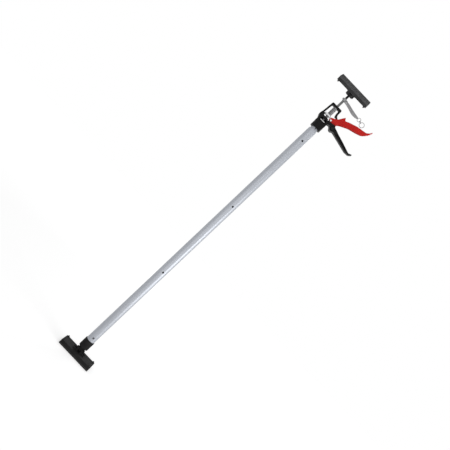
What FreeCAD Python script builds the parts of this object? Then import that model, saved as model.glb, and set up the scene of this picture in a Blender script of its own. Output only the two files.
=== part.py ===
"""Telescopic prop: a pump-handle support pole with a swivel pad at each end.

Frame: the origin is the centre of the foot pad's sole, +Z runs up the pole,
+X points the way the pump handle sticks out, and -Y is the front.
The pole is stored closed, standing on its foot, with the head pad tipped
forward on its pivot. Millimetres.
"""
import FreeCAD, Part
import math
import os

from FreeCAD import Vector

# Swivel pads: a rubber sole on a moulded plate with two pivot lugs
PAD_LENGTH = 120.0
PAD_WIDTH = 56.0
RUBBER_T = 5.5
PLATE_T = 9.5
PAD_CORNER_R = 3.0
GROOVE_PITCH = 8.0
GROOVE_WIDTH = 2.0
GROOVE_DEPTH = 1.4
STUD_X = 54.0
STUD_Y = 22.0
STUD_R = 2.4
STUD_TIP_H = 4.0
PIVOT_ABOVE_PLATE = 7.5
LUG_GAP = 10.4
LUG_T = 6.0
LUG_TOP_R = 7.0
LUG_BASE_Y = 11.0
GUSSET_LENGTH = 12.0
GUSSET_H = 5.0
GUSSET_T = 2.6
GUSSET_Y = 8.4
PIVOT_R = 3.0
PIVOT_RUNNING_GAP = 0.08
BOLT_HEAD_T = 3.0
HEX_ACROSS_FLATS = 10.0

# Pole tubes
OUTER_R = 14.0
INNER_R = 12.0
TUBE_WALL = 1.5
TUBE_TURN_DEG = 12.0
HOLE_R = 3.2
HOLE_PITCH = 285.0
HOLE_COUNT = 4
FIRST_HOLE_Z = 78.0
OUTER_TUBE_TOP_Z = 980.0
INNER_TUBE_BOTTOM_Z = 66.0
SLIT_WIDTH = 2.4
SLIT_LENGTH = 25.0

# Collar that closes the bottom of the pole and carries the foot pivot
COLLAR_R = 16.0
COLLAR_Z0 = 34.0
COLLAR_Z1 = 64.0
COLLAR_FLOOR_T = 6.0
TONGUE_R = 7.2
FIT_GAP = 0.05

# Spring button that locks the inner tube in a hole of the outer tube
BUTTON_R = 2.9
BUTTON_PROUD = 1.6
LEAF_T = 0.8
LEAF_WIDTH = 6.0

# Pump handle casting
SOCKET_R = 17.8
SOCKET_Z0 = 988.5
SOCKET_TOP_Z = 1019.0
SOCKET_BORE_TOP_Z = 1009.0
SOCKET_SCREW_Z = 998.5
SOCKET_SCREW_R = 2.0
BODY_HALF_Y = 13.0
BODY_ROUND = 2.0
SWELL_Z = (1003.0, 1024.0, 1060.0)
SWELL_X = -2.5
SWELL_R = 24.5
FRAME_HALF_Y = 6.0
FRAME_ROUND = 1.0
LEVER_WEB_HALF_Y = 4.0
EAR_Y0 = 6.8
EAR_Y1 = 10.8
BOSS_Y1 = 12.0
BOSS_R = 8.8
BOSS_RIM = 2.2
HANDLE_HALF_Y = 8.5
GRIP_ROUND = 1.5
HANDLE_WEB_HALF_Y = 4.0
HANDLE_RIM = 2.8
HANDLE_WEB_END_X = 110.0
HANDLE_TOP = [(49.5, 1029.4), (90.0, 1018.8), (123.5, 1008.6), (134.2, 1013.0)]
HANDLE_BOTTOM = [(135.4, 1010.6), (127.6, 1004.0), (113.0, 1003.0), (49.5, 1016.8)]
FLOOR_Z = 1034.0
FULCRUM_Z = 1041.0
TOP_BAR_Z0 = 1075.0
TOP_BAR_Z1 = 1082.5

# Trigger, a folded channel that turns on a bolt between the casting's ears
TRIGGER_PIVOT = (37.0, 1023.5)
TRIGGER_EYE_R = 6.6
TRIGGER_Y0 = 4.4
TRIGGER_Y1 = 6.4
FOLD_ROUND = 1.2
TRIGGER_BACK = [(60.0, 1074.5), (85.0, 1083.4), (117.0, 1089.4)]
PUSH_PIN = (16.5, 1038.3)
PUSH_PIN_R = 3.0

# Push rod with its drive plates, lock plate and springs
ROD_R = 4.0
ROD_GUIDE_R = 4.1
ROD_Z0 = 130.0
ROD_TOP_Z = 1117.5
DRIVE_PLATE_T = 2.5
DRIVE_PLATE_Z = 1041.5
DRIVE_PLATE_X = (-13.0, 20.0)
DRIVE_PLATE_HALF_Y = 9.0
DRIVE_NECK_X = 8.5
DRIVE_TONGUE_HALF_Y = 3.9
PLATE_HOLE_R = 4.4
DRIVE_SPRING_R = 6.2
DRIVE_SPRING_WIRE = 1.5
DRIVE_SPRING_TURNS = 12
POCKET_Z = (1013.5, 1026.0)
POCKET_HALF_X = 10.0
POCKET_BACK_Y = 9.0
LEDGE_Y = 7.0
LEDGE_GAP = 0.1
LOCK_PLATE_T = 2.0
LOCK_PLATE_HALF_X = 8.3
LOCK_PLATE_Y = (-21.5, 8.0)
LOCK_FULCRUM_Z = 1017.0
LOCK_TILT_DEG = 4.0
LOCK_SPRING_WIRE = 1.2
LOCK_SPRING_TURNS = 4
STOP_COLLAR_R = 9.5
STOP_COLLAR_H = 12.0

# Head: stem with an eye on top of the rod, and the tipped head pad
STEM_R = 3.6
SPIGOT_R = 2.5
SPIGOT_LENGTH = 17.0
HEAD_PIVOT_Z = 1136.0
EYE_R = 7.0
EYE_HALF_X = 5.0
HEAD_TIP_DEG = 28.0

# Keeper strap with its clip and rings
CLIP_Z = (1107.0, 1116.0)
CLIP_R = 5.4
CLIP_EAR_Y = (0.9, 2.1)
CLIP_EAR_X = 13.0
CLIP_SCREW_Z = 1112.6
CLIP_SCREW_R = 1.5
RIVET = (8.5, 1110.5)
RIVET_R = 1.6
STRAP_T = 1.4
STRAP_HOLE = (63.0, 1102.4)
STRAP_HOLE_R = 1.6
STRAP_END_R = 3.4
LINK_WIRE_R = 0.85
LINK_SPACING = 1.85
CHAIN = (
    ("link_inner", 3.3, "edge on", 0.0),
    ("ring_small", 5.7, "face on", 0.0),
    ("link_outer", 4.0, "edge on", -16.0),
    ("ring_large", 7.8, "face on", -16.0),
)

# Places that follow from the sizes above
PAD_T = RUBBER_T + PLATE_T
FOOT_PIVOT_Z = PAD_T + PIVOT_ABOVE_PLATE
TUBE_BOTTOM_Z = COLLAR_Z0 + COLLAR_FLOOR_T
LUG_OUT_X = LUG_GAP / 2 + LUG_T
X_AXIS = Vector(1, 0, 0)
Y_AXIS = Vector(0, 1, 0)
Z_AXIS = Vector(0, 0, 1)
TURN = math.radians(TUBE_TURN_DEG)
HOLE_OUT = Vector(math.sin(TURN), -math.cos(TURN), 0)


def cylinder(radius, start, axis, length):
    return Part.makeCylinder(radius, length, start, axis)


def box(x_range, y_range, z_range):
    size = (x_range[1] - x_range[0], y_range[1] - y_range[0], z_range[1] - z_range[0])
    return Part.makeBox(*size, Vector(x_range[0], y_range[0], z_range[0]))


def tube(outer, inner, z0, z1):
    outside = cylinder(outer, Vector(0, 0, z0), Z_AXIS, z1 - z0)
    return outside.cut(cylinder(inner, Vector(0, 0, z0), Z_AXIS, z1 - z0))


def rounded_wire(corners, place):
    """Closed outline of straight runs; each corner is (a, b, radius), and place puts it in space."""
    flat = [Vector(a, b, 0) for a, b, _ in corners]
    count = len(corners)
    joints = []
    for i in range(count):
        here = flat[i]
        back = (flat[i - 1] - here).normalize()
        ahead = (flat[(i + 1) % count] - here).normalize()
        radius = corners[i][2]
        half = back.getAngle(ahead) / 2
        if radius == 0:
            joints.append((here, None, here))
            continue
        setback = radius / math.tan(half)
        middle = (back + ahead).normalize()
        crown = here + middle * (radius / math.sin(half) - radius)
        joints.append((here + back * setback, crown, here + ahead * setback))
    edges = []
    for i in range(count):
        first, crown, last = joints[i]
        if crown is not None:
            edges.append(Part.Arc(place(first), place(crown), place(last)).toShape())
        start = place(joints[(i + 1) % count][0])
        if place(last).distanceToPoint(start) > 1e-6:
            edges.append(Part.LineSegment(place(last), start).toShape())
    return Part.Wire(edges)


def side_plate(corners, y0, y1):
    """Solid between two Y planes with a rounded outline given in X and Z."""
    wire = rounded_wire(corners, lambda p: Vector(p.x, y0, p.y))
    return Part.Face(wire).extrude(Vector(0, y1 - y0, 0))


def round_rims(solid, half_y, radius, keep):
    """Rounds the edges on both flat sides of a side plate where keep(x, z) holds at an edge's middle."""
    rims = []
    for edge in solid.Edges:
        span = edge.BoundBox
        middle = edge.CenterOfMass
        on_side = span.YLength < 1e-6 and abs(abs(span.YMin) - half_y) < 1e-6
        if on_side and keep(middle.x, middle.z):
            rims.append(edge)
    return solid.makeFillet(radius, rims)


def flat_plate(corners, z0, z1):
    """Solid between two Z planes with a rounded outline given in X and Y."""
    wire = rounded_wire(corners, lambda p: Vector(p.x, p.y, z0))
    return Part.Face(wire).extrude(Vector(0, 0, z1 - z0))


def rectangle(x_range, y_range, radius):
    (x0, x1), (y0, y1) = x_range, y_range
    return [(x0, y0, radius), (x1, y0, radius), (x1, y1, radius), (x0, y1, radius)]


def cross_plate(corners, x0, x1):
    """Solid between two X planes with a rounded outline given in Y and Z."""
    wire = rounded_wire(corners, lambda p: Vector(x0, p.x, p.y))
    return Part.Face(wire).extrude(Vector(x1 - x0, 0, 0))


def hexagon(start, axis, across_flats, length, bore=0.0):
    radius = across_flats / 2 / math.cos(math.pi / 6)
    side = axis.cross(Z_AXIS).normalize()
    up = side.cross(axis)
    points = []
    for i in range(7):
        angle = math.pi / 6 + i * math.pi / 3
        points.append(start + side * (radius * math.cos(angle)) + up * (radius * math.sin(angle)))
    solid = Part.Face(Part.makePolygon(points)).extrude(axis * length)
    if bore:
        solid = solid.cut(cylinder(bore, start, axis, length))
    return solid


def coil(radius, wire, turns, z0, z1):
    """Compression spring round the Z axis, wound from z0 to z1 over its outer faces."""
    height = z1 - z0 - wire
    path = Part.makeHelix(height / turns, height, radius)
    profile = Part.Wire(Part.Circle(Vector(radius, 0, 0), Y_AXIS, wire / 2).toShape())
    spring = Part.Wire(path.Edges).makePipeShell([profile], True, True)
    spring.translate(Vector(0, 0, z0 + wire / 2))
    return spring


def pad_rubber():
    """Grooved sole, face down at z = 0, with four studs pulled through the plate's corners."""
    half_l, half_w = PAD_LENGTH / 2, PAD_WIDTH / 2
    sole = flat_plate(rectangle((-half_l, half_l), (-half_w, half_w), PAD_CORNER_R), 0, RUBBER_T)
    count = int(half_w // GROOVE_PITCH)
    for i in range(-count, count):
        middle = (i + 0.5) * GROOVE_PITCH
        groove_y = (middle - GROOVE_WIDTH / 2, middle + GROOVE_WIDTH / 2)
        sole = sole.cut(box((-half_l, half_l), groove_y, (0, GROOVE_DEPTH)))
    for x in (-STUD_X, STUD_X):
        for y in (-STUD_Y, STUD_Y):
            stud = cylinder(STUD_R, Vector(x, y, RUBBER_T), Z_AXIS, PLATE_T)
            tip = Part.makeCone(STUD_R + 0.8, STUD_R * 0.8, STUD_TIP_H, Vector(x, y, PAD_T), Z_AXIS)
            sole = sole.fuse(stud).fuse(tip)
    return sole.removeSplitter()


def pad_plate():
    """Moulded plate over the sole, with two pivot lugs and the gussets beside them."""
    half_l, half_w = PAD_LENGTH / 2, PAD_WIDTH / 2
    plate = flat_plate(rectangle((-half_l, half_l), (-half_w, half_w), PAD_CORNER_R), RUBBER_T, PAD_T)
    rim = [edge for edge in plate.Edges if abs(edge.BoundBox.ZMin - PAD_T) < 1e-6]
    plate = plate.makeFillet(1.2, rim)
    pivot_z = PAD_T + PIVOT_ABOVE_PLATE
    lug_outline = [
        (-LUG_BASE_Y, PAD_T - 1.0, 0),
        (LUG_BASE_Y, PAD_T - 1.0, 0),
        (LUG_TOP_R, pivot_z + LUG_TOP_R, LUG_TOP_R * 0.85),
        (-LUG_TOP_R, pivot_z + LUG_TOP_R, LUG_TOP_R * 0.85),
    ]
    for side in (-1, 1):
        ends = sorted((side * LUG_GAP / 2, side * LUG_OUT_X))
        plate = plate.fuse(cross_plate(lug_outline, *ends))
        gusset = [
            (side * (LUG_OUT_X - 1.0), PAD_T - 1.0, 0),
            (side * (LUG_OUT_X + GUSSET_LENGTH), PAD_T - 1.0, 0),
            (side * (LUG_OUT_X + GUSSET_LENGTH), PAD_T + 1.2, 0.8),
            (side * (LUG_OUT_X - 1.0), PAD_T + GUSSET_H, 0),
        ]
        for y in (-GUSSET_Y, GUSSET_Y):
            plate = plate.fuse(side_plate(gusset, y - GUSSET_T / 2, y + GUSSET_T / 2))
    plate = plate.cut(cylinder(PIVOT_R, Vector(-LUG_OUT_X, 0, pivot_z), X_AXIS, 2 * LUG_OUT_X))
    for x in (-STUD_X, STUD_X):
        for y in (-STUD_Y, STUD_Y):
            plate = plate.cut(cylinder(STUD_R + FIT_GAP, Vector(x, y, RUBBER_T), Z_AXIS, PLATE_T))
    return plate.removeSplitter()


def pad_bolt():
    """Hex bolt through both lugs, its head on the -X side."""
    start = Vector(-LUG_OUT_X, 0, FOOT_PIVOT_Z)
    shank = cylinder(PIVOT_R, start, X_AXIS, 2 * LUG_OUT_X + BOLT_HEAD_T)
    head = hexagon(start - X_AXIS * BOLT_HEAD_T, X_AXIS, HEX_ACROSS_FLATS, BOLT_HEAD_T)
    return head.fuse(shank).removeSplitter()


def pad_nut():
    return hexagon(Vector(LUG_OUT_X, 0, FOOT_PIVOT_Z), X_AXIS, HEX_ACROSS_FLATS, BOLT_HEAD_T, PIVOT_R)


def to_head(shape):
    """A foot piece turned over onto the head pivot and tipped forward."""
    moved = shape.copy()
    moved.translate(Vector(0, 0, -FOOT_PIVOT_Z))
    moved.rotate(Vector(0, 0, 0), X_AXIS, 180.0 + HEAD_TIP_DEG)
    moved.translate(Vector(0, 0, HEAD_PIVOT_Z))
    return moved


def pole_hole(radius, z, depth_from, depth_to):
    """Radial drilling through one wall, on the side that the locking holes face."""
    return cylinder(radius, HOLE_OUT * depth_from + Vector(0, 0, z), HOLE_OUT, depth_to - depth_from)


def outer_tube():
    pole = tube(OUTER_R, OUTER_R - TUBE_WALL, TUBE_BOTTOM_Z, OUTER_TUBE_TOP_Z)
    for i in range(HOLE_COUNT):
        pole = pole.cut(pole_hole(HOLE_R, FIRST_HOLE_Z + i * HOLE_PITCH, 0, 2 * OUTER_R))
    return pole


def inner_tube():
    pole = tube(INNER_R, INNER_R - TUBE_WALL, INNER_TUBE_BOTTOM_Z, SOCKET_BORE_TOP_Z)
    pole = pole.cut(pole_hole(BUTTON_R + 0.1, FIRST_HOLE_Z, 0, 2 * INNER_R))
    for i in range(1, HOLE_COUNT):
        pole = pole.cut(pole_hole(HOLE_R, FIRST_HOLE_Z + i * HOLE_PITCH, 0, 2 * INNER_R))
    slit = box((-SLIT_WIDTH / 2, SLIT_WIDTH / 2), (-2 * INNER_R, 0), (0, SLIT_LENGTH))
    slit.rotate(Vector(0, 0, 0), Z_AXIS, TUBE_TURN_DEG)
    slit.translate(Vector(0, 0, SOCKET_BORE_TOP_Z - SLIT_LENGTH))
    return pole.cut(slit)


def foot_collar():
    """Cup pressed on the pole's end, with a tapered neck and a tongue for the foot pivot."""
    cup = cylinder(COLLAR_R, Vector(0, 0, COLLAR_Z0), Z_AXIS, COLLAR_Z1 - COLLAR_Z0)
    rims = [edge for edge in cup.Edges if len(edge.Vertexes) == 1]
    cup = cup.makeFillet(1.0, rims)
    bore_height = COLLAR_Z1 - TUBE_BOTTOM_Z
    cup = cup.cut(cylinder(OUTER_R + FIT_GAP, Vector(0, 0, TUBE_BOTTOM_Z), Z_AXIS, bore_height))
    neck = Part.makeCone(TONGUE_R, COLLAR_R - 3.5, 3.5, Vector(0, 0, COLLAR_Z0 - 3.0), Z_AXIS)
    tongue_outline = [
        (-TONGUE_R, FOOT_PIVOT_Z - TONGUE_R, TONGUE_R * 0.99),
        (TONGUE_R, FOOT_PIVOT_Z - TONGUE_R, TONGUE_R * 0.99),
        (TONGUE_R, COLLAR_Z0 + 1.0, 0),
        (-TONGUE_R, COLLAR_Z0 + 1.0, 0),
    ]
    tongue = cross_plate(tongue_outline, -EYE_HALF_X, EYE_HALF_X)
    solid = cup.fuse(neck).fuse(tongue)
    eye = cylinder(PIVOT_R + PIVOT_RUNNING_GAP, Vector(-EYE_HALF_X, 0, FOOT_PIVOT_Z), X_AXIS, 2 * EYE_HALF_X)
    return solid.cut(eye).removeSplitter()


def snap_button():
    """Domed button on the front of the leaf spring."""
    inner_end = INNER_R - TUBE_WALL - 1.2
    outer_end = OUTER_R + BUTTON_PROUD
    shaft = pole_hole(BUTTON_R, FIRST_HOLE_Z, inner_end, outer_end)
    rim = [edge for edge in shaft.Edges if edge.CenterOfMass.dot(HOLE_OUT) > outer_end - 0.01]
    return shaft.makeFillet(1.4, rim)


def button_spring():
    """Bent leaf inside the inner tube: one leg behind the button, one on the far wall."""
    front = INNER_R - TUBE_WALL - 1.2 - LEAF_T
    back = -(INNER_R - TUBE_WALL - 1.6)
    low, bend = FIRST_HOLE_Z - 7.0, FIRST_HOLE_Z + 34.0
    middle = (front + back) / 2
    crown = bend + 6.0
    corners = [
        (back, low, 0),
        (back, bend, 6.0),
        (middle, crown, 3.0),
        (front, bend, 6.0),
        (front, low, 0),
        (front - LEAF_T, low, 0),
        (front - LEAF_T, bend, 6.0),
        (middle, crown - LEAF_T * 1.2, 2.2),
        (back + LEAF_T, bend, 6.0),
        (back + LEAF_T, low, 0),
    ]

    def place(p):
        return HOLE_OUT * p.x + Vector(0, 0, p.y)

    side = HOLE_OUT.cross(Z_AXIS)
    leaf = Part.Face(rounded_wire(corners, place)).extrude(side * LEAF_WIDTH)
    leaf.translate(side * (-LEAF_WIDTH / 2))
    return leaf


def casting_frame():
    """Body, fulcrum step and the open frame round the drive spring."""
    body = side_plate([
        (-SOCKET_R, SOCKET_BORE_TOP_Z - 6.0, 0),
        (-SOCKET_R, 1019.0, 4.0),
        (-23.2, 1028.5, 4.0),
        (-22.6, 1035.0, 8.0),
        (-21.4, FULCRUM_Z, 0),
        (-10.5, FULCRUM_Z, 1.0),
        (-10.5, FLOOR_Z, 2.0),
        (8.0, FLOOR_Z, 1.0),
        (10.0, 1031.0, 1.0),
        (SOCKET_R, 1029.0, 2.0),
        (SOCKET_R, SOCKET_BORE_TOP_Z - 6.0, 0),
    ], -BODY_HALF_Y, BODY_HALF_Y)
    frame = side_plate([
        (-21.9, FLOOR_Z, 0),
        (-18.4, TOP_BAR_Z1, 4.0),
        (19.2, TOP_BAR_Z1, 4.0),
        (19.6, 1064.0, 5.0),
        (22.4, 1059.4, 4.0),
        (28.0, 1056.0, 2.0),
        (31.5, 1050.0, 0),
        (27.0, 1052.0, 3.0),
        (21.5, 1054.8, 2.0),
        (16.4, 1055.2, 2.0),
        (14.4, 1060.0, 4.0),
        (13.0, 1067.0, 6.0),
        (12.8, TOP_BAR_Z0, 2.0),
        (-13.0, TOP_BAR_Z0, 2.0),
        (-16.2, FLOOR_Z, 0),
    ], -FRAME_HALF_Y, FRAME_HALF_Y)
    lever_path = box((20.6, 40.0), (-FRAME_HALF_Y, FRAME_HALF_Y), (1030.0, 1062.0))
    lever_path = lever_path.cut(box((20.6, 40.0), (-LEVER_WEB_HALF_Y, LEVER_WEB_HALF_Y), (1030.0, 1062.0)))
    web = side_plate([
        (26.0, 1053.0, 0),
        (28.0, 1056.0, 0),
        (36.0, 1041.0, 4.0),
        (36.0, 1035.0, 0),
        (30.5, 1035.0, 0),
        (30.0, 1045.0, 8.0),
    ], -LEVER_WEB_HALF_Y, LEVER_WEB_HALF_Y)
    body = round_rims(body, BODY_HALF_Y, BODY_ROUND, lambda x, z: True)
    frame = frame.cut(lever_path).fuse(web)
    frame = round_rims(frame, FRAME_HALF_Y, FRAME_ROUND, lambda x, z: z > FLOOR_Z + 5.0 and x < 20.0)
    return body, frame


def body_swell():
    """Round envelope that lets the body grow out of the socket in a smooth swell."""
    low = Part.Wire(Part.Circle(Vector(0, 0, SWELL_Z[0]), Z_AXIS, SOCKET_R).toShape())
    middle = Part.Wire(Part.Circle(Vector(SWELL_X, 0, SWELL_Z[1]), Z_AXIS, SWELL_R).toShape())
    high = Part.Wire(Part.Circle(Vector(SWELL_X, 0, SWELL_Z[2]), Z_AXIS, SWELL_R).toShape())
    return Part.makeLoft([low, middle], True, True).fuse(Part.makeLoft([middle, high], True, True))


def casting_floor():
    """Trough that closes the ears from below and wraps the trigger's eye."""
    x, z = TRIGGER_PIVOT
    half = EAR_Y0 + 0.4
    start = Vector(x, -half, z)
    trough = cylinder(BOSS_R, start, Y_AXIS, 2 * half)
    trough = trough.cut(box((x - BOSS_R, x + BOSS_R), (-half, half), (z - 2.5, z + BOSS_R)))
    lip = side_plate([
        (14.0, 1021.4, 0),
        (24.5, 1024.8, 5.0),
        (29.5, 1018.8, 0),
        (29.5, 1023.2, 0),
        (24.5, 1027.8, 4.0),
        (14.0, 1025.0, 0),
    ], -half, half)
    heel = box((x + 6.0, HANDLE_TOP[0][0] + 1.0), (-half, half), (z - 5.2, z - 2.5))
    floor = trough.fuse([lip, heel])
    return floor.cut(cylinder(TRIGGER_EYE_R + 0.4, start, Y_AXIS, 2 * half))


def casting_ears():
    """Two cheeks that carry the trigger bolt and run on into the handle."""
    x, z = TRIGGER_PIVOT
    outline = [
        (12.0, 1021.0, 0),
        (24.5, 1024.6, 6.0),
        (30.5, 1018.0, 4.0),
        (46.0, 1018.2, 4.0),
        (58.0, 1015.8, 2.0),
        (60.0, 1026.2, 2.0),
        (41.0, 1031.6, 6.0),
        (36.0, 1036.8, 1.0),
        (27.0, 1033.8, 8.0),
        (19.5, 1033.2, 6.0),
        (12.0, 1035.4, 0),
    ]
    ears = None
    for side in (-1, 1):
        near, far = sorted((side * EAR_Y0, side * EAR_Y1))
        ear = side_plate(outline, near, far)
        boss = cylinder(BOSS_R, Vector(x, side * EAR_Y0, z), Y_AXIS * side, BOSS_Y1 - EAR_Y0)
        ring = cylinder(BOSS_R - BOSS_RIM, Vector(x, side * (BOSS_Y1 - 1.2), z), Y_AXIS * side, 1.2)
        ear = ear.fuse(boss).cut(ring)
        ears = ear if ears is None else ears.fuse(ear)
    bridge = side_plate([
        (30.6, 1034.0, 0), (30.6, 1037.0, 0), (36.0, 1038.6, 0), (36.0, 1034.0, 0),
    ], -LEVER_WEB_HALF_Y, LEVER_WEB_HALF_Y)
    return ears.fuse(bridge)


def grip_outline():
    """Fixed grip seen from the front, with its tip hooked up."""
    radii = (0, 20.0, 6.0, 1.0)
    top = [(x, z, radius) for (x, z), radius in zip(HANDLE_TOP, radii)]
    radii = (1.0, 6.0, 12.0, 0)
    low = [(x, z, radius) for (x, z), radius in zip(HANDLE_BOTTOM, radii)]
    return top + low


def height_at(start, end, x):
    """Z on the line from start to end, both (x, z)."""
    return start[1] + (end[1] - start[1]) * (x - start[0]) / (end[0] - start[0])


def web_outline():
    """Recess inside the grip's rim, ended short of the hooked tip."""
    near_x = HANDLE_TOP[0][0] + 2 * HANDLE_RIM
    far_x = HANDLE_WEB_END_X
    top = height_at(HANDLE_TOP[1], HANDLE_TOP[2], far_x)
    low = height_at(HANDLE_BOTTOM[2], HANDLE_BOTTOM[3], far_x)
    return [
        (near_x, height_at(HANDLE_TOP[0], HANDLE_TOP[1], near_x) - HANDLE_RIM, 1.0),
        (HANDLE_TOP[1][0], HANDLE_TOP[1][1] - HANDLE_RIM, 20.0),
        (far_x, top - HANDLE_RIM, 1.2),
        (far_x, low + HANDLE_RIM, 1.2),
        (near_x, height_at(HANDLE_BOTTOM[2], HANDLE_BOTTOM[3], near_x) + HANDLE_RIM, 1.0),
    ]


def casting_handle():
    """Fixed grip of I section: a rim round a thinner web."""
    grip = side_plate(grip_outline(), -HANDLE_HALF_Y, HANDLE_HALF_Y)
    grip = round_rims(grip, HANDLE_HALF_Y, GRIP_ROUND, lambda x, z: x > HANDLE_TOP[0][0] + 1.5)
    for side in (-1, 1):
        near, far = sorted((side * HANDLE_WEB_HALF_Y, side * HANDLE_HALF_Y))
        grip = grip.cut(side_plate(web_outline(), near, far))
    return grip


def gun_body():
    """One casting: tube socket, spring frame, trigger ears and fixed handle."""
    socket = cylinder(SOCKET_R, Vector(0, 0, SOCKET_Z0), Z_AXIS, SOCKET_TOP_Z - SOCKET_Z0)
    lower_rim = [edge for edge in socket.Edges if abs(edge.BoundBox.ZMax - SOCKET_Z0) < 1e-6]
    socket = socket.makeFillet(1.0, lower_rim)
    body, frame = casting_frame()
    solid = socket.fuse([body.common(body_swell()), frame, casting_ears(), casting_floor(), casting_handle()])
    bore_height = SOCKET_BORE_TOP_Z - SOCKET_Z0
    solid = solid.cut(cylinder(INNER_R + FIT_GAP, Vector(0, 0, SOCKET_Z0), Z_AXIS, bore_height))
    solid = solid.cut(cylinder(ROD_GUIDE_R, Vector(0, 0, SOCKET_Z0), Z_AXIS, 2 * (TOP_BAR_Z1 - SOCKET_Z0)))
    pocket_x = (-POCKET_HALF_X, POCKET_HALF_X)
    solid = solid.cut(box(pocket_x, (-2 * SOCKET_R, LEDGE_Y), POCKET_Z))
    solid = solid.cut(box(pocket_x, (LEDGE_Y, POCKET_BACK_Y), (LOCK_FULCRUM_Z - LEDGE_GAP, POCKET_Z[1])))
    screw_hole = cylinder(SOCKET_SCREW_R, Vector(0, INNER_R - 2.0, SOCKET_SCREW_Z), Y_AXIS, 8.0)
    bolt_hole = cylinder(PIVOT_R, Vector(TRIGGER_PIVOT[0], -BOSS_Y1, TRIGGER_PIVOT[1]), Y_AXIS, 2 * BOSS_Y1)
    return solid.cut(screw_hole).cut(bolt_hole).removeSplitter()


def socket_screw():
    """Pan-head screw at the back that holds the inner tube in the casting."""
    head = Part.makeCone(4.2, 3.0, 2.4, Vector(0, SOCKET_R, SOCKET_SCREW_Z), Y_AXIS)
    shank_start = INNER_R + FIT_GAP
    shank = cylinder(SOCKET_SCREW_R, Vector(0, shank_start, SOCKET_SCREW_Z), Y_AXIS, SOCKET_R - shank_start)
    return head.fuse(shank).removeSplitter()


def trigger():
    """Folded channel: two cheeks joined along the finger side, with a spur and a curled tip."""
    x, z = TRIGGER_PIVOT
    back = [(*spot, radius) for spot, radius in zip(TRIGGER_BACK, (20.0, 60.0, 12.0))]
    outline = [
        (9.5, 1040.6, 2.0),
        (13.0, 1046.6, 4.0),
        (22.0, 1051.0, 10.0),
        (30.0, 1057.0, 8.0),
        (41.4, 1077.0, 1.4),
        (48.0, 1068.6, 3.0),
        *back,
        (125.6, 1097.0, 12.0),
        (129.0, 1104.4, 0.8),
        (131.0, 1101.6, 0.8),
        (126.4, 1089.2, 16.0),
        (112.4, 1073.6, 24.0),
        (94.0, 1067.0, 40.0),
        (70.0, 1060.2, 60.0),
        (46.0, 1047.4, 30.0),
        (37.6, 1040.4, 3.0),
        (x + TRIGGER_EYE_R, z + 5.0, 4.0),
        (x + TRIGGER_EYE_R, z - TRIGGER_EYE_R, TRIGGER_EYE_R - 0.1),
        (x - TRIGGER_EYE_R, z - TRIGGER_EYE_R, TRIGGER_EYE_R - 0.1),
        (x - TRIGGER_EYE_R, z + 3.5, 4.0),
        (17.0, 1034.6, 4.0),
        (11.0, 1036.6, 2.0),
    ]
    solid = side_plate(outline, -TRIGGER_Y1, TRIGGER_Y1)
    skin = 2.0
    under_back = [(bx, bz - skin, radius) for bx, bz, radius in back[:2]]
    hollow = [
        (0.0, 1000.0, 0),
        (0.0, 1100.0, 0),
        (47.0, 1100.0, 0),
        (47.0, 1068.0 - skin, 2.0),
        *under_back,
        (116.0, 1089.2 - skin, 2.0),
        (121.0, 1082.0, 2.0),
        (121.0, 1000.0, 0),
    ]
    solid = solid.cut(side_plate(hollow, -TRIGGER_Y0, TRIGGER_Y0))
    hole_r = PIVOT_R + PIVOT_RUNNING_GAP
    solid = solid.cut(cylinder(hole_r, Vector(x, -TRIGGER_Y1, z), Y_AXIS, 2 * TRIGGER_Y1))
    pin_hole = cylinder(PUSH_PIN_R, Vector(PUSH_PIN[0], -TRIGGER_Y1, PUSH_PIN[1]), Y_AXIS, 2 * TRIGGER_Y1)
    solid = solid.cut(pin_hole)

    def on_fold(x, z):
        return 49.0 < x < 125.5 and z - 1069.0 > 0.22 * (x - 49.0)

    return round_rims(solid, TRIGGER_Y1, FOLD_ROUND, on_fold)


def push_pin():
    """Riveted pin across the trigger's nose that lifts the drive plates."""
    head_t = 0.35
    start = Vector(PUSH_PIN[0], -TRIGGER_Y1 - head_t, PUSH_PIN[1])
    return cylinder(PUSH_PIN_R, start, Y_AXIS, 2 * (TRIGGER_Y1 + head_t))


def trigger_bolt():
    """Pivot bolt with a domed head at the front."""
    x, z = TRIGGER_PIVOT
    seat = BOSS_Y1 - 1.2
    shank = cylinder(PIVOT_R, Vector(x, -seat, z), Y_AXIS, 2 * seat + BOLT_HEAD_T)
    head = cylinder(5.2, Vector(x, -seat - BOLT_HEAD_T, z), Y_AXIS, BOLT_HEAD_T)
    front_rim = [edge for edge in head.Edges if edge.CenterOfMass.y < -seat - BOLT_HEAD_T + 0.01]
    return head.makeFillet(1.6, front_rim).fuse(shank).removeSplitter()


def trigger_nut():
    x, z = TRIGGER_PIVOT
    return hexagon(Vector(x, BOSS_Y1 - 1.2, z), Y_AXIS, HEX_ACROSS_FLATS, BOLT_HEAD_T, PIVOT_R)


def drive_plate(index):
    """Hardened plate that tips and grips the rod when the push pin lifts its long end."""
    z0 = DRIVE_PLATE_Z + index * DRIVE_PLATE_T
    half = DRIVE_PLATE_HALF_Y
    low_x, high_x = DRIVE_PLATE_X
    neck = DRIVE_TONGUE_HALF_Y
    corners = [
        (low_x, -half, 4.0), (DRIVE_NECK_X, -half, 3.0), (DRIVE_NECK_X, -neck, 0),
        (high_x, -neck, 1.5), (high_x, neck, 1.5),
        (DRIVE_NECK_X, neck, 0), (DRIVE_NECK_X, half, 3.0), (low_x, half, 4.0),
    ]
    plate = flat_plate(corners, z0, z0 + DRIVE_PLATE_T)
    return plate.cut(cylinder(PLATE_HOLE_R, Vector(0, 0, z0), Z_AXIS, DRIVE_PLATE_T))


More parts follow.
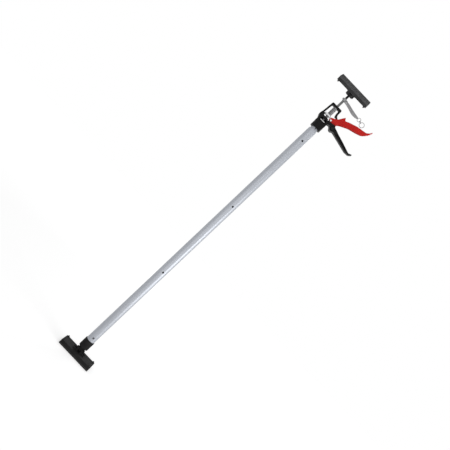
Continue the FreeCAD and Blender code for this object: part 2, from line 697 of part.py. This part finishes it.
def lock_plate():
    """Lock plate in the lower pocket, with a thumb tab out of the front."""
    half = LOCK_PLATE_HALF_X
    z0 = LOCK_FULCRUM_Z
    corners = rectangle((-half, half), LOCK_PLATE_Y, 2.0)
    plate = flat_plate(corners, z0, z0 + LOCK_PLATE_T)
    tab = box((-half, half), (LOCK_PLATE_Y[0], LOCK_PLATE_Y[0] + 2.0), (z0 - 0.4, z0 + LOCK_PLATE_T))
    plate = plate.fuse(tab.makeFillet(0.6, tab.Edges)).removeSplitter()
    plate = plate.cut(cylinder(PLATE_HOLE_R, Vector(0, 0, z0 - 1), Z_AXIS, LOCK_PLATE_T + 2))
    plate.rotate(Vector(0, LOCK_PLATE_Y[1], z0), X_AXIS, LOCK_TILT_DEG)
    return plate


def rod():
    bar = cylinder(ROD_R, Vector(0, 0, ROD_Z0), Z_AXIS, ROD_TOP_Z - ROD_Z0)
    depth = SPIGOT_LENGTH + 1.0
    return bar.cut(cylinder(SPIGOT_R + FIT_GAP, Vector(0, 0, ROD_TOP_Z - depth), Z_AXIS, depth))


def rod_stop():
    """Collar on the rod's hidden end that keeps it from leaving the handle."""
    collar = tube(STOP_COLLAR_R, ROD_R, ROD_Z0, ROD_Z0 + STOP_COLLAR_H)
    rims = [edge for edge in collar.Edges if len(edge.Vertexes) == 1 and edge.Curve.Radius > ROD_R + 1]
    return collar.makeChamfer(1.0, rims)


def head_stem():
    """Stem on top of the rod with the eye that the head pad tips on."""
    spigot = cylinder(SPIGOT_R, Vector(0, 0, ROD_TOP_Z - SPIGOT_LENGTH), Z_AXIS, SPIGOT_LENGTH)
    stem = cylinder(STEM_R, Vector(0, 0, ROD_TOP_Z), Z_AXIS, HEAD_PIVOT_Z - ROD_TOP_Z)
    neck = Part.makeCone(STEM_R, EYE_HALF_X, 3.0, Vector(0, 0, HEAD_PIVOT_Z - EYE_R - 2.4), Z_AXIS)
    eye = cylinder(EYE_R, Vector(-EYE_HALF_X, 0, HEAD_PIVOT_Z), X_AXIS, 2 * EYE_HALF_X)
    hole = cylinder(PIVOT_R + PIVOT_RUNNING_GAP, Vector(-EYE_HALF_X, 0, HEAD_PIVOT_Z), X_AXIS, 2 * EYE_HALF_X)
    return spigot.fuse([stem, neck, eye]).cut(hole).removeSplitter()


def strap_clip():
    """Band round the rod with two ears for the strap and a boss for its pinch screw."""
    z0, z1 = CLIP_Z
    band = cylinder(CLIP_R, Vector(0, 0, z0), Z_AXIS, z1 - z0)
    for side in (-1, 1):
        y_range = sorted((side * CLIP_EAR_Y[0], side * CLIP_EAR_Y[1]))
        ear = side_plate([
            (2.0, z0, 0), (CLIP_EAR_X, z0 - 0.8, 3.0), (CLIP_EAR_X, z1 - 1.0, 3.0), (2.0, z1, 0),
        ], *y_range)
        band = band.fuse(ear)
    slot = box((0, 2 * CLIP_EAR_X), (-CLIP_EAR_Y[0], CLIP_EAR_Y[0]), (z0 - 3.0, z1 + 3.0))
    band = band.cut(slot).cut(cylinder(ROD_R + FIT_GAP, Vector(0, 0, z0 - 3.0), Z_AXIS, z1 - z0 + 6.0))
    rivet_hole = cylinder(RIVET_R, Vector(RIVET[0], -CLIP_EAR_Y[1], RIVET[1]), Y_AXIS, 2 * CLIP_EAR_Y[1])
    screw_hole = cylinder(CLIP_SCREW_R, Vector(-2 * CLIP_R, 0, CLIP_SCREW_Z), X_AXIS, CLIP_R + ROD_R)
    return band.cut(rivet_hole).cut(screw_hole).removeSplitter()


def clip_screw():
    """Low-headed screw that pinches the clip on the rod."""
    head_t = 2.6
    tip_x = -(ROD_R + FIT_GAP)
    head = cylinder(2.3, Vector(-CLIP_R - head_t, 0, CLIP_SCREW_Z), X_AXIS, head_t)
    shank = cylinder(CLIP_SCREW_R, Vector(-CLIP_R, 0, CLIP_SCREW_Z), X_AXIS, CLIP_R + tip_x)
    return head.fuse(shank).removeSplitter()


def strap_rivet():
    """Domed rivet that the strap turns on."""
    x, z = RIVET
    shank = cylinder(RIVET_R, Vector(x, -CLIP_EAR_Y[1], z), Y_AXIS, 2 * CLIP_EAR_Y[1])
    for side in (-1, 1):
        cap = Part.makeCone(2.8, 1.6, 1.1, Vector(x, side * CLIP_EAR_Y[1], z), Y_AXIS * side)
        shank = shank.fuse(cap)
    return shank.removeSplitter()


def keeper_strap():
    """Flat strap with a swelling middle and a round end holed for the ring."""
    hole_x, hole_z = STRAP_HOLE
    end_x = hole_x + STRAP_END_R
    solid = side_plate([
        (5.9, 1114.6, 2.0),
        (18.0, 1114.0, 30.0),
        (45.0, 1108.4, 60.0),
        (58.0, 1106.6, 10.0),
        (end_x, hole_z + STRAP_END_R * 0.8, STRAP_END_R * 0.75),
        (end_x, hole_z - STRAP_END_R, STRAP_END_R * 0.75),
        (58.0, 1097.2, 10.0),
        (46.0, 1097.0, 30.0),
        (18.0, 1104.6, 40.0),
        (5.9, 1106.2, 2.0),
    ], -STRAP_T / 2, STRAP_T / 2)
    rivet_r = RIVET_R + PIVOT_RUNNING_GAP
    solid = solid.cut(cylinder(rivet_r, Vector(RIVET[0], -STRAP_T, RIVET[1]), Y_AXIS, 2 * STRAP_T))
    return solid.cut(cylinder(STRAP_HOLE_R, Vector(hole_x, -STRAP_T, hole_z), Y_AXIS, 2 * STRAP_T))


def chain_links():
    """Wire links from the strap's hole outwards, each turned a quarter from the one before it."""
    links = {}
    near = Vector(STRAP_HOLE[0], 0, STRAP_HOLE[1])
    for i, (name, radius, facing, slope_deg) in enumerate(CHAIN):
        slope = math.radians(slope_deg)
        out = Vector(math.cos(slope), 0, math.sin(slope))
        across = Vector(-math.sin(slope), 0, math.cos(slope))
        centre = near + out * radius
        links[name] = Part.makeTorus(radius, LINK_WIRE_R, centre, Y_AXIS if facing == "face on" else across)
        next_slope = math.radians(CHAIN[min(i + 1, len(CHAIN) - 1)][3])
        next_out = Vector(math.cos(next_slope), 0, math.sin(next_slope))
        near = centre + next_out * (radius - LINK_SPACING)
    return links


def build():
    """Every piece by its node name, in place."""
    plates_top = DRIVE_PLATE_Z + 2 * DRIVE_PLATE_T
    lock_spring_z0 = LOCK_FULCRUM_Z + LOCK_PLATE_T + 0.2
    lock_spring_r = ROD_R + LOCK_SPRING_WIRE
    pieces = {
        "foot_rubber": pad_rubber(),
        "foot_plate": pad_plate(),
        "foot_bolt": pad_bolt(),
        "foot_nut": pad_nut(),
        "foot_collar": foot_collar(),
        "outer_tube": outer_tube(),
        "inner_tube": inner_tube(),
        "snap_button": snap_button(),
        "button_spring": button_spring(),
        "gun_body": gun_body(),
        "socket_screw": socket_screw(),
        "trigger": trigger(),
        "push_pin": push_pin(),
        "trigger_bolt": trigger_bolt(),
        "trigger_nut": trigger_nut(),
        "drive_plate_lower": drive_plate(0),
        "drive_plate_upper": drive_plate(1),
        "drive_spring": coil(DRIVE_SPRING_R, DRIVE_SPRING_WIRE, DRIVE_SPRING_TURNS, plates_top, TOP_BAR_Z0),
        "lock_plate": lock_plate(),
        "lock_spring": coil(lock_spring_r, LOCK_SPRING_WIRE, LOCK_SPRING_TURNS, lock_spring_z0, POCKET_Z[1]),
        "rod": rod(),
        "rod_stop": rod_stop(),
        "head_stem": head_stem(),
        "head_rubber": to_head(pad_rubber()),
        "head_plate": to_head(pad_plate()),
        "head_bolt": to_head(pad_bolt()),
        "head_nut": to_head(pad_nut()),
        "strap_clip": strap_clip(),
        "clip_screw": clip_screw(),
        "strap_rivet": strap_rivet(),
        "keeper_strap": keeper_strap(),
    }
    pieces.update(chain_links())
    return pieces


def main():
    os.makedirs("parts", exist_ok=True)
    for name, shape in build().items():
        solid = shape if shape.ShapeType == "Solid" or len(shape.Solids) != 1 else shape.Solids[0]
        print("%-18s valid=%s solids=%d" % (name, solid.isValid(), len(solid.Solids)))
        solid.exportStep("parts/%s.step" % name)


main()
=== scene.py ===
"""Looks of the telescopic prop: materials for the CAD pieces, the photo's camera, lamps and a pale floor."""
import math

import bpy
from mathutils import Matrix, Vector


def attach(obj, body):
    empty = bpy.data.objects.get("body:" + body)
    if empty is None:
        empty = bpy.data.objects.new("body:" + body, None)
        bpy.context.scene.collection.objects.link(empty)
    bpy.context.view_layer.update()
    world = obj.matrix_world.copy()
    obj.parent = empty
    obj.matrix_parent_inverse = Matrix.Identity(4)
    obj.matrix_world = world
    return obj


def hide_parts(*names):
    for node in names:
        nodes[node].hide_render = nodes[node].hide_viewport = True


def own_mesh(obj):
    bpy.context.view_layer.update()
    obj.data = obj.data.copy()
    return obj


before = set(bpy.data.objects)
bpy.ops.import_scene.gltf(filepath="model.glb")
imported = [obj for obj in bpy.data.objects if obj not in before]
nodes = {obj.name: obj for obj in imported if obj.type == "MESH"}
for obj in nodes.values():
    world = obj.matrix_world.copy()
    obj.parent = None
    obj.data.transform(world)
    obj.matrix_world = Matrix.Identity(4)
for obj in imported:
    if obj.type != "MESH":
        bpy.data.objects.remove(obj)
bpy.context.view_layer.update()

WHITE = (1.0, 1.0, 1.0)

# Camera, from the photo's framing: the pole leans across the picture and the lens is level with its middle
CAMERA_PLACE = (0.0263, -1.584, 0.594)
CAMERA_RIGHT = (0.6869, 0.0, 0.7268)
CAMERA_UP = (-0.7268, 0.0, 0.6869)
CAMERA_BACK = (0.0, -1.0, 0.0)
FOCAL_PIXELS = 528.0
PHOTO_PIXELS = 450.0
SENSOR_MM = 36.0
CLIP_START = 0.01

# Light levels: the background is white to the camera and in reflections
BACKDROP_LEVEL = 1.0
AMBIENT_LEVEL = 0.45
FLOOR_HALF = 6.0
FLOOR_TONE = 0.8
GLOW_NEAR = 0.51
GLOW_FAR = 0.66
GLOW_REACH = (0.9, 2.6)

# Lamps: place, aim, size in metres, power in watts
LAMPS = {
    "key": ((1.4, -0.58, 0.2), (0.0, 0.0, 0.4), 0.8, 14.0),
    "fill": ((-0.3, -2.2, 0.6), (0.0, 0.0, 0.5), 1.8, 9.0),
    "rim": ((0.6, 1.8, 1.9), (0.0, 0.0, 0.8), 1.2, 10.0),
}

# Directions that the pads' faces look in at rest
HEAD_TIP = math.radians(28.0)
HEAD_FACE = (0.0, -math.sin(HEAD_TIP), math.cos(HEAD_TIP))
FOOT_FACE = (0.0, 0.0, -1.0)

# Fine dots on the foot's sole, one row to each rib
TREAD_PITCH = 0.008
TREAD_RADIUS = 0.0019
TREAD_CORE = 0.6
TREAD_PALER = 2.2

# Silver coat of the two tubes; the inner tube's copy is darker, as painted shade
TUBE_DARK = (0.420, 0.441, 0.482)
TUBE_PALE = (0.470, 0.491, 0.533)
TUBE_RUBBED = (0.30, 0.31, 0.33)
OUTER_LEVEL = 1.0
INNER_SHADED_LEVEL = 0.86

# Bright zinc: colour, roughness and the nodes that have it
ZINC_DARKER = 0.82
ZINC_ROUGH_SPREAD = (0.8, 1.3)
ZINCS = {
    "rod_zinc": ((0.165, 0.167, 0.167), 0.26, ["rod", "rod_stop"]),
    "plate_zinc": ((0.62, 0.625, 0.63), 0.34, ["push_pin", "drive_plate_lower", "drive_plate_upper"]),
    "lock_zinc": ((0.42, 0.42, 0.42), 0.36, ["lock_plate"]),
    "wire_zinc": ((0.30, 0.30, 0.305), 0.32, ["link_inner", "link_outer", "ring_small", "ring_large",
                                              "clip_screw", "strap_rivet"]),
    "spring_wire": ((0.36, 0.36, 0.37), 0.34, ["drive_spring", "lock_spring", "button_spring"]),
    "clip_zinc": ((0.33, 0.33, 0.335), 0.38, ["strap_clip"]),
}

# Dark paint and mouldings: colour, roughness, edge wear, shine and the nodes that have it
PAINT_PALER = 1.7
PAINT_ROUGH_SPREAD = (0.85, 1.2)
PAINT_WORN = (0.16, 0.16, 0.165)
PAINTS = {
    "casting_black": ((0.0035, 0.0034, 0.0034), 0.42, 0.4, 0.13, ["gun_body"]),
    "steel_black": ((0.008, 0.008, 0.009), 0.36, 0.7, 0.16, ["foot_bolt", "foot_nut", "head_bolt", "head_nut",
                                                             "head_stem", "trigger_bolt", "trigger_nut",
                                                             "socket_screw"]),
    "button_grey": ((0.09, 0.09, 0.095), 0.5, 0.3, 0.16, ["snap_button"]),
    # One black moulding in two copies: the head's is paler as painted light, the foot's darker as painted
    # shade
    "head_moulding_lit": ((0.027, 0.027, 0.028), 0.58, 0.1, 0.16, ["head_plate"]),
    "foot_moulding_shaded": ((0.0155, 0.0155, 0.0158), 0.6, 0.1, 0.05, ["foot_plate", "foot_collar"]),
}

# Rubber of the pads: colour on the face, and a painted highlight along the edges
RUBBER_PALER = 1.6
RUBBER_HIGHLIGHT = (0.17, 0.17, 0.173)
# One rubber in two copies: the head's is paler as painted light, the foot's darker as painted shade
HEAD_RUBBER_LIT = (0.043, 0.043, 0.0444)
FOOT_RUBBER_SHADED = (0.018, 0.018, 0.0182)

# Red paint of the trigger, with painted shade along its edges, and grey finish of the strap
RED_DEEP = (0.58, 0.013, 0.011)
RED_BRIGHT = (0.66, 0.019, 0.014)
RED_EDGE_SHADE = (0.27, 0.008, 0.012)
STRAP_DARK = (0.31, 0.307, 0.313)
STRAP_PALE = (0.38, 0.375, 0.383)

BEVEL_SAMPLES = 4


def scaled(colour, factor):
    return tuple(factor * channel for channel in colour)


def opaque(colour):
    return (*colour, 1.0)


class Shader:
    """A Principled material with short calls for the procedural nodes that feed it."""

    def __init__(self, name, **sockets):
        self.material = bpy.data.materials.new(name)
        self.material.use_nodes = True
        self.tree = self.material.node_tree
        self.surface = self.tree.nodes["Principled BSDF"]
        for socket, value in sockets.items():
            self.surface.inputs[socket.replace("_", " ")].default_value = value
        coordinates = self.tree.nodes.new("ShaderNodeTexCoord")
        self.place = coordinates.outputs["Object"]
        self.normal = coordinates.outputs["Normal"]

    def link(self, output, socket):
        self.tree.links.new(output, socket)

    def noise(self, per_metre, detail=4.0, rough=0.55):
        """Soft noise, with as many features to the metre along X, Y and Z."""
        mapping = self.tree.nodes.new("ShaderNodeMapping")
        mapping.inputs["Scale"].default_value = per_metre
        self.link(self.place, mapping.inputs["Vector"])
        texture = self.tree.nodes.new("ShaderNodeTexNoise")
        texture.inputs["Scale"].default_value = 1.0
        texture.inputs["Detail"].default_value = detail
        texture.inputs["Roughness"].default_value = rough
        self.link(mapping.outputs["Vector"], texture.inputs["Vector"])
        return texture.outputs["Fac"]

    def dots(self, pitch, radius):
        """One in round dots on a square grid and nought between them."""
        texture = self.tree.nodes.new("ShaderNodeTexVoronoi")
        texture.inputs["Scale"].default_value = 1.0 / pitch
        texture.inputs["Randomness"].default_value = 0.0
        self.link(self.place, texture.inputs["Vector"])
        rim = radius / pitch
        return self.levels(texture.outputs["Distance"], 1.0, 0.0, at=(TREAD_CORE * rim, rim))

    def times(self, first, second):
        node = self.tree.nodes.new("ShaderNodeMath")
        node.operation = "MULTIPLY"
        self.link(first, node.inputs[0])
        self.link(second, node.inputs[1])
        return node.outputs["Value"]

    def ramp(self, value, dark, pale, at=(0.3, 0.7)):
        """A colour that runs from dark to pale as the value goes through the two stops."""
        node = self.tree.nodes.new("ShaderNodeValToRGB")
        for element, position, colour in zip(node.color_ramp.elements, at, (dark, pale)):
            element.position = position
            element.color = opaque(colour)
        self.link(value, node.inputs["Fac"])
        return node.outputs["Color"]

    def levels(self, value, low, high, at=(0.3, 0.7)):
        """A number that runs from low to high as the value goes through the two stops."""
        node = self.tree.nodes.new("ShaderNodeMapRange")
        node.inputs["From Min"].default_value = at[0]
        node.inputs["From Max"].default_value = at[1]
        node.inputs["To Min"].default_value = low
        node.inputs["To Max"].default_value = high
        self.link(value, node.inputs["Value"])
        return node.outputs["Result"]

    def mix(self, amount, first, second):
        """Two colours, each a node's output or a plain colour, mixed by the amount."""
        node = self.tree.nodes.new("ShaderNodeMix")
        node.data_type = "RGBA"
        self.link(amount, node.inputs["Factor"])
        sockets = [socket for socket in node.inputs if socket.type == "RGBA"]
        for socket, value in zip(sockets, (first, second)):
            if isinstance(value, tuple):
                socket.default_value = opaque(value)
            else:
                self.link(value, socket)
        return next(socket for socket in node.outputs if socket.type == "RGBA")

    def rounded(self, radius):
        """The surface's normal with its sharp edges rounded off."""
        bevel = self.tree.nodes.new("ShaderNodeBevel")
        bevel.samples = BEVEL_SAMPLES
        bevel.inputs["Radius"].default_value = radius
        return bevel.outputs["Normal"]

    def edges(self, radius, reach=0.12):
        """One along sharp edges and nought on open faces."""
        flat = self.tree.nodes.new("ShaderNodeNewGeometry").outputs["Normal"]
        dot = self.tree.nodes.new("ShaderNodeVectorMath")
        dot.operation = "DOT_PRODUCT"
        self.link(self.rounded(radius), dot.inputs[0])
        self.link(flat, dot.inputs[1])
        return self.levels(dot.outputs["Value"], 1.0, 0.0, at=(1.0 - reach, 1.0))

    def facing(self, direction, at=(0.3, 0.8)):
        """One on faces that look in the direction and nought on those that look away."""
        dot = self.tree.nodes.new("ShaderNodeVectorMath")
        dot.operation = "DOT_PRODUCT"
        self.link(self.normal, dot.inputs[0])
        dot.inputs[1].default_value = direction
        return self.levels(dot.outputs["Value"], 0.0, 1.0, at=at)

    def colour(self, value):
        self.link(value, self.surface.inputs["Base Color"])

    def roughness(self, value):
        self.link(value, self.surface.inputs["Roughness"])

    def bump(self, value, strength, distance, edge_radius=0.0):
        node = self.tree.nodes.new("ShaderNodeBump")
        node.inputs["Strength"].default_value = strength
        node.inputs["Distance"].default_value = distance
        self.link(value, node.inputs["Height"])
        if edge_radius:
            self.link(self.rounded(edge_radius), node.inputs["Normal"])
        self.link(node.outputs["Normal"], self.surface.inputs["Normal"])


def tube_silver(name, level):
    """Silver coat with fine streaks along the tube, soft clouds and a few rubbed marks."""
    shader = Shader(name, Metallic=0.5, Specular_IOR_Level=0.4)
    streaks = shader.noise(per_metre=(1400.0, 1400.0, 7.0), detail=3.0)
    clouds = shader.noise(per_metre=(30.0, 30.0, 9.0), detail=5.0)
    marks = shader.noise(per_metre=(260.0, 260.0, 60.0), detail=6.0, rough=0.7)
    tint = shader.ramp(clouds, scaled(TUBE_DARK, level), scaled(TUBE_PALE, level))
    rubbed = shader.levels(marks, low=0.0, high=0.3, at=(0.66, 0.8))
    shader.colour(shader.mix(rubbed, tint, TUBE_RUBBED))
    shader.roughness(shader.levels(streaks, low=0.40, high=0.52))
    shader.bump(streaks, strength=0.12, distance=0.00008)
    return shader.material


def bright_zinc(name, tone, rough):
    """Clouded zinc with faint rolling lines."""
    shader = Shader(name, Metallic=1.0)
    clouds = shader.noise(per_metre=(90.0, 90.0, 90.0), detail=5.0)
    lines = shader.noise(per_metre=(500.0, 500.0, 2600.0), detail=2.0)
    smooth, dull = ZINC_ROUGH_SPREAD
    shader.colour(shader.ramp(clouds, scaled(tone, ZINC_DARKER), tone))
    shader.roughness(shader.levels(clouds, low=rough * smooth, high=rough * dull))
    shader.bump(lines, strength=0.08, distance=0.00005, edge_radius=0.0003)
    return shader.material


def black_paint(name, tone, rough, wear, shine):
    """Grained dark paint, worn to grey in patches along its edges."""
    shader = Shader(name, Specular_IOR_Level=shine)
    grain = shader.noise(per_metre=(1500.0, 1500.0, 1500.0), detail=3.0)
    clouds = shader.noise(per_metre=(55.0, 55.0, 55.0), detail=4.0)
    smooth, dull = PAINT_ROUGH_SPREAD
    base = shader.ramp(clouds, tone, scaled(tone, PAINT_PALER), at=(0.35, 0.7))
    patches = shader.levels(clouds, low=0.0, high=wear, at=(0.45, 0.7))
    worn = shader.times(shader.edges(radius=0.0006), patches)
    shader.colour(shader.mix(worn, base, PAINT_WORN))
    shader.roughness(shader.levels(grain, low=rough * smooth, high=rough * dull))
    shader.bump(grain, strength=0.25, distance=0.00012, edge_radius=0.0007)
    return shader.material


def red_paint():
    """Smooth red paint with a slight peel and painted shade along its edges."""
    shader = Shader("red_paint", Specular_IOR_Level=0.12, Coat_Weight=0.05, Coat_Roughness=0.2)
    clouds = shader.noise(per_metre=(28.0, 28.0, 28.0), detail=3.0)
    peel = shader.noise(per_metre=(700.0, 700.0, 700.0), detail=2.0)
    base = shader.ramp(clouds, RED_DEEP, RED_BRIGHT)
    # Painted shade: the trigger's edges are darkened towards a deep red
    edge = shader.levels(shader.edges(radius=0.0009), low=0.0, high=0.75, at=(0.0, 1.0))
    shader.colour(shader.mix(edge, base, RED_EDGE_SHADE))
    shader.roughness(shader.levels(peel, low=0.30, high=0.42))
    shader.bump(peel, strength=0.06, distance=0.0001, edge_radius=0.0008)
    return shader.material


def rubber(name, tone, shine, face, side_factor, edge_highlight, dotted=False):
    """Ribbed rubber: the sides are paler than the face and the edges carry a painted highlight."""
    shader = Shader(name, Specular_IOR_Level=shine)
    grain = shader.noise(per_metre=(900.0, 900.0, 900.0), detail=4.0)
    dust = shader.noise(per_metre=(35.0, 35.0, 35.0), detail=6.0, rough=0.65)
    pale = scaled(tone, RUBBER_PALER)
    # The face keeps the given tone; the sides are the same tone made paler by side_factor
    face_tone = shader.ramp(dust, tone, pale, at=(0.4, 0.75))
    side = shader.ramp(dust, scaled(tone, side_factor), scaled(pale, side_factor), at=(0.4, 0.75))
    front = shader.facing(face)
    base = shader.mix(front, side, face_tone)
    if dotted:
        tread = shader.times(shader.dots(TREAD_PITCH, TREAD_RADIUS), front)
        base = shader.mix(tread, base, scaled(tone, TREAD_PALER))
    # Painted highlight: the rubber's edges are paled towards light grey
    highlit_edges = shader.levels(shader.edges(radius=0.0012), low=0.0, high=edge_highlight, at=(0.0, 1.0))
    shader.colour(shader.mix(highlit_edges, base, RUBBER_HIGHLIGHT))
    shader.roughness(shader.levels(grain, low=0.72, high=0.92))
    shader.bump(grain, strength=0.4, distance=0.0002, edge_radius=0.0008)
    return shader.material


def strap_grey():
    """Grey finish, lightly brushed along the strap."""
    shader = Shader("strap_grey", Metallic=0.2, Specular_IOR_Level=0.3)
    brushed = shader.noise(per_metre=(60.0, 900.0, 1500.0), detail=4.0)
    clouds = shader.noise(per_metre=(70.0, 70.0, 70.0), detail=4.0)
    shader.colour(shader.ramp(clouds, STRAP_DARK, STRAP_PALE))
    shader.roughness(shader.levels(brushed, low=0.45, high=0.65))
    shader.bump(brushed, strength=0.15, distance=0.0001, edge_radius=0.0003)
    return shader.material


def dress(material, names):
    """Gives each named CAD node that one material."""
    for name in names:
        mesh = nodes[name].data
        mesh.materials.clear()
        mesh.materials.append(material)


def dress_all():
    dress(tube_silver("tube_silver", OUTER_LEVEL), ["outer_tube"])
    # The inner tube's darker copy of the silver coat is painted shade
    dress(tube_silver("inner_silver", INNER_SHADED_LEVEL), ["inner_tube"])
    for name, (tone, rough, wearers) in ZINCS.items():
        dress(bright_zinc(name, tone, rough), wearers)
    for name, (tone, rough, wear, shine, wearers) in PAINTS.items():
        dress(black_paint(name, tone, rough, wear, shine), wearers)
    head_pad = rubber("head_pad", HEAD_RUBBER_LIT, shine=0.14, face=HEAD_FACE, side_factor=1.75, edge_highlight=0.7)
    foot_pad = rubber("foot_pad", FOOT_RUBBER_SHADED, shine=0.08, face=FOOT_FACE, side_factor=1.9, edge_highlight=0.1, dotted=True)
    dress(head_pad, ["head_rubber"])
    dress(foot_pad, ["foot_rubber"])
    dress(red_paint(), ["trigger"])
    dress(strap_grey(), ["keeper_strap"])


def springy(name, node, body):
    """A copy of a CAD spring that rides on the body, in place of the hidden CAD node."""
    spring = bpy.data.objects.new(name, nodes[node].data.copy())
    bpy.context.scene.collection.objects.link(spring)
    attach(spring, body)
    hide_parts(node)
    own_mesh(spring)


def white_to_view(tree, lit, shown):
    """Joins two shaders: shown for camera, glossy and transmitted rays, lit for the rest."""
    path = tree.nodes.new("ShaderNodeLightPath")
    seen = path.outputs["Is Camera Ray"]
    for name in ("Is Glossy Ray", "Is Transmission Ray"):
        both = tree.nodes.new("ShaderNodeMath")
        both.operation = "MAXIMUM"
        tree.links.new(seen, both.inputs[0])
        tree.links.new(path.outputs[name], both.inputs[1])
        seen = both.outputs["Value"]
    mix = tree.nodes.new("ShaderNodeMixShader")
    tree.links.new(seen, mix.inputs["Fac"])
    tree.links.new(lit, mix.inputs[1])
    tree.links.new(shown, mix.inputs[2])
    return mix.outputs["Shader"]


def make_world():
    world = bpy.data.worlds.new("studio")
    world.use_nodes = True
    tree = world.node_tree
    ambient = tree.nodes["Background"]
    backdrop = tree.nodes.new("ShaderNodeBackground")
    for node, level in ((ambient, AMBIENT_LEVEL), (backdrop, BACKDROP_LEVEL)):
        node.inputs["Color"].default_value = opaque(WHITE)
        node.inputs["Strength"].default_value = level
    joined = white_to_view(tree, ambient.outputs["Background"], backdrop.outputs["Background"])
    tree.links.new(joined, tree.nodes["World Output"].inputs["Surface"])
    bpy.context.scene.world = world


def floor_white():
    """Matt white that keeps shadows, with a glow to the viewer that grows with distance."""
    material = bpy.data.materials.new("floor_white")
    material.use_nodes = True
    # The glow is only seen and lights nothing, so it isn't sampled as a lamp
    material.cycles.emission_sampling = "NONE"
    tree = material.node_tree
    tree.nodes.clear()
    matt = tree.nodes.new("ShaderNodeBsdfDiffuse")
    matt.inputs["Color"].default_value = opaque(scaled(WHITE, FLOOR_TONE))
    away = tree.nodes.new("ShaderNodeVectorMath")
    away.operation = "LENGTH"
    tree.links.new(tree.nodes.new("ShaderNodeTexCoord").outputs["Object"], away.inputs[0])
    level = tree.nodes.new("ShaderNodeMapRange")
    level.inputs["From Min"].default_value = GLOW_REACH[0]
    level.inputs["From Max"].default_value = GLOW_REACH[1]
    level.inputs["To Min"].default_value = GLOW_NEAR
    level.inputs["To Max"].default_value = GLOW_FAR
    tree.links.new(away.outputs["Value"], level.inputs["Value"])
    glow = tree.nodes.new("ShaderNodeEmission")
    tree.links.new(level.outputs["Result"], glow.inputs["Strength"])
    shown = tree.nodes.new("ShaderNodeAddShader")
    tree.links.new(matt.outputs["BSDF"], shown.inputs[0])
    tree.links.new(glow.outputs["Emission"], shown.inputs[1])
    joined = white_to_view(tree, matt.outputs["BSDF"], shown.outputs["Shader"])
    output = tree.nodes.new("ShaderNodeOutputMaterial")
    tree.links.new(joined, output.inputs["Surface"])
    return material


def make_floor():
    mesh = bpy.data.meshes.new("floor")
    corners = [(-1, -1), (1, -1), (1, 1), (-1, 1)]
    mesh.from_pydata([(FLOOR_HALF * x, FLOOR_HALF * y, 0.0) for x, y in corners], [], [(0, 1, 2, 3)])
    mesh.materials.append(floor_white())
    floor = bpy.data.objects.new("floor", mesh)
    bpy.context.scene.collection.objects.link(floor)


def make_lamp(name, place, aim, size, power):
    lamp = bpy.data.lights.new(name, "AREA")
    lamp.size = size
    lamp.energy = power
    holder = bpy.data.objects.new(name, lamp)
    bpy.context.scene.collection.objects.link(holder)
    holder.location = place
    holder.rotation_euler = (Vector(aim) - Vector(place)).to_track_quat("-Z", "Y").to_euler()


def make_camera():
    lens = bpy.data.cameras.new("camera")
    lens.sensor_width = SENSOR_MM
    lens.lens = FOCAL_PIXELS / PHOTO_PIXELS * SENSOR_MM
    lens.clip_start = CLIP_START
    holder = bpy.data.objects.new("camera", lens)
    bpy.context.scene.collection.objects.link(holder)
    axes = Matrix((CAMERA_RIGHT, CAMERA_UP, CAMERA_BACK)).transposed()
    holder.matrix_world = Matrix.Translation(CAMERA_PLACE) @ axes.to_4x4()
    bpy.context.scene.camera = holder


dress_all()
springy("drive_coil", "drive_spring", "pump")
springy("button_leaf", "button_spring", "pump")
make_world()
make_floor()
for lamp_name, lamp_values in LAMPS.items():
    make_lamp(lamp_name, *lamp_values)
make_camera()
bpy.context.scene.view_settings.view_transform = "Standard"
